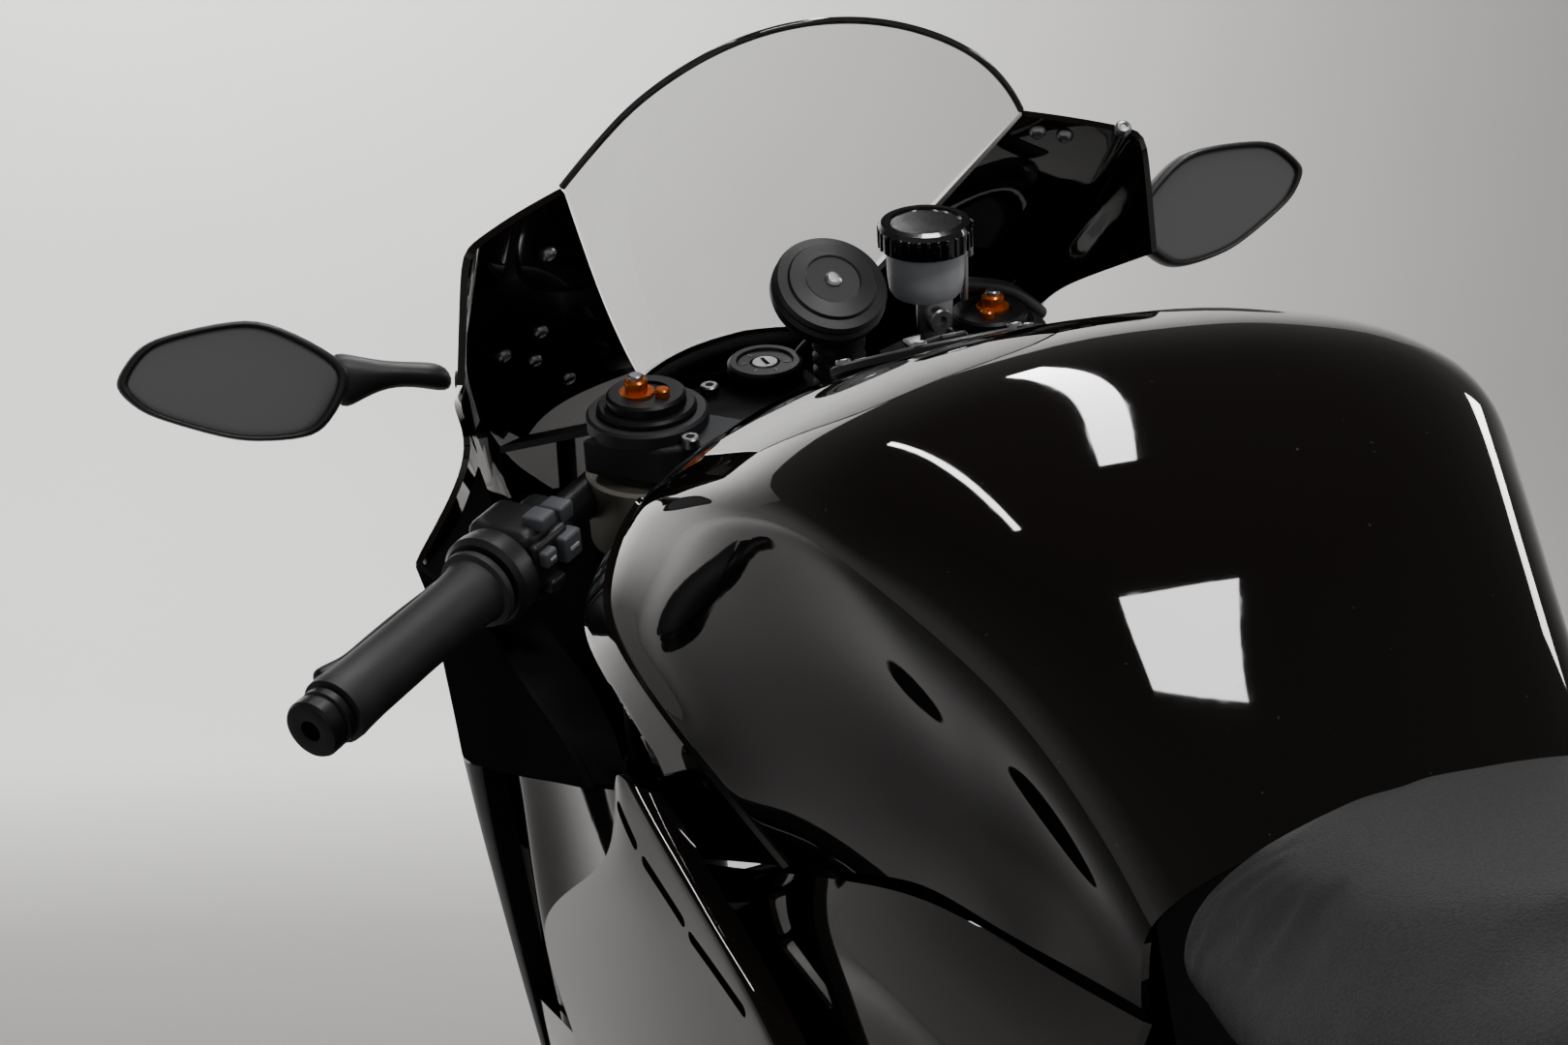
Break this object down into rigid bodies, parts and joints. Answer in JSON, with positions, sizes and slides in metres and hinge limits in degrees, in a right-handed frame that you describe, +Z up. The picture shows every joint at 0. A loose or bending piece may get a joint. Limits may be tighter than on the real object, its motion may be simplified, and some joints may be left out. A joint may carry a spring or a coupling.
{
  "type": "sport bike",
  "caption": "Fully faired black sport bike leaning on its side stand, with clip-on bars, clear screen, turning wheels, steering, folding stand and hinged fuel cap.",
  "frame": {"origin": "on the floor below the centre of the bounding box, the bike leaning to the left on its side stand", "axes": "+X forward, +Y to the left, +Z up"},
  "size_m": [2.0224, 0.7896, 1.1276],
  "materials": {
    "gloss_body": "gloss black paint",
    "satin_plastic": "moulded satin black",
    "screen": "clear, lightly smoked",
    "mirror_glass": "grey mirror glass",
    "lamp": "clear lens",
    "display": "dark display",
    "seat": "fine-grained dark grey vinyl",
    "rubber": "moulded black rubber",
    "tyre": "black rubber",
    "rim": "satin black",
    "alloy": "dark anodised",
    "engine": "dark grey casting",
    "steel": "brushed steel",
    "exhaust": "brushed titanium grey",
    "black_metal": "black",
    "reservoir": "translucent white cup, black cap"
  },
  "bodies": {
    "chassis": {"rear_axle": "steel", "chain": "steel", "swingarm": "alloy", "swingarm_pivot": "steel", "seat_rails": "black_metal", "engine": "engine", "radiator": "engine", "exhaust": "exhaust", "rear_shock": "black_metal", "footrests": "alloy", "rear_caliper": "black_metal", "fuel_tank": "gloss_body", "rider_seat": "seat", "pillion_seat": "seat", "tail_cowl": "gloss_body", "tail_lamp": "lamp", "plate_holder": "satin_plastic", "upper_cowl": "gloss_body", "windscreen": "screen", "side_fairings": "gloss_body", "belly_pan": "gloss_body", "side_covers": "gloss_body", "main_frame": "alloy", "instrument_display": "display", "cockpit_panel": "satin_plastic", "fairing_stay": "steel", "headlamps": "lamp", "mirrors": "satin_plastic", "mirror_glasses": "mirror_glass", "stand_bracket": "steel"},
    "steering": {"fork_outer_tubes": "black_metal", "fork_legs": "black_metal", "front_axle": "steel", "upper_clamp": "alloy", "lower_clamp": "alloy", "handlebars": "alloy", "grips": "rubber", "bar_ends": "steel", "switch_pods": "satin_plastic", "hand_levers": "steel", "brake_reservoir": "reservoir", "reservoir_bracket": "steel", "stem_mount": "satin_plastic", "ignition_lock": "alloy", "front_fender": "gloss_body", "front_calipers": "black_metal"},
    "front_wheel": {"front_tyre": "tyre", "front_rim": "rim", "front_discs": "steel"},
    "rear_wheel": {"rear_tyre": "tyre", "rear_rim": "rim", "rear_disc": "steel", "rear_sprocket": "steel"},
    "side_stand": {"side_stand": "black_metal"},
    "fuel_lid": {"fuel_cap": "alloy"}
  },
  "joints": [
    {"name": "steering", "type": "hinge", "parent": "chassis", "child": "steering", "pos_m": [0.68531, -0.13239, 0.28126], "axis": [-0.4053, 0.2024, 0.8915], "range_deg": [-32, 22]},
    {"name": "front_wheel_spin", "type": "hinge", "parent": "steering", "child": "front_wheel", "pos_m": [0.71157, -0.12735, 0.29206], "axis": [-0.08, 0.9636, -0.2551], "continuous": true},
    {"name": "rear_wheel_spin", "type": "hinge", "parent": "chassis", "child": "rear_wheel", "pos_m": [-0.6933, -0.1258, 0.31246], "axis": [-0.0004, 0.9751, -0.2215], "continuous": true},
    {"name": "side_stand", "type": "hinge", "parent": "chassis", "child": "side_stand", "pos_m": [-0.07344, 0.00416, 0.22451], "axis": [0.2756, 0.8977, 0.3437], "range_deg": [0, 103]},
    {"name": "fuel_lid", "type": "hinge", "parent": "chassis", "child": "fuel_lid", "pos_m": [0.29573, 0.0187, 0.9469], "axis": [-0.0004, 0.9751, -0.2215], "range_deg": [0, 100]}
  ]
}
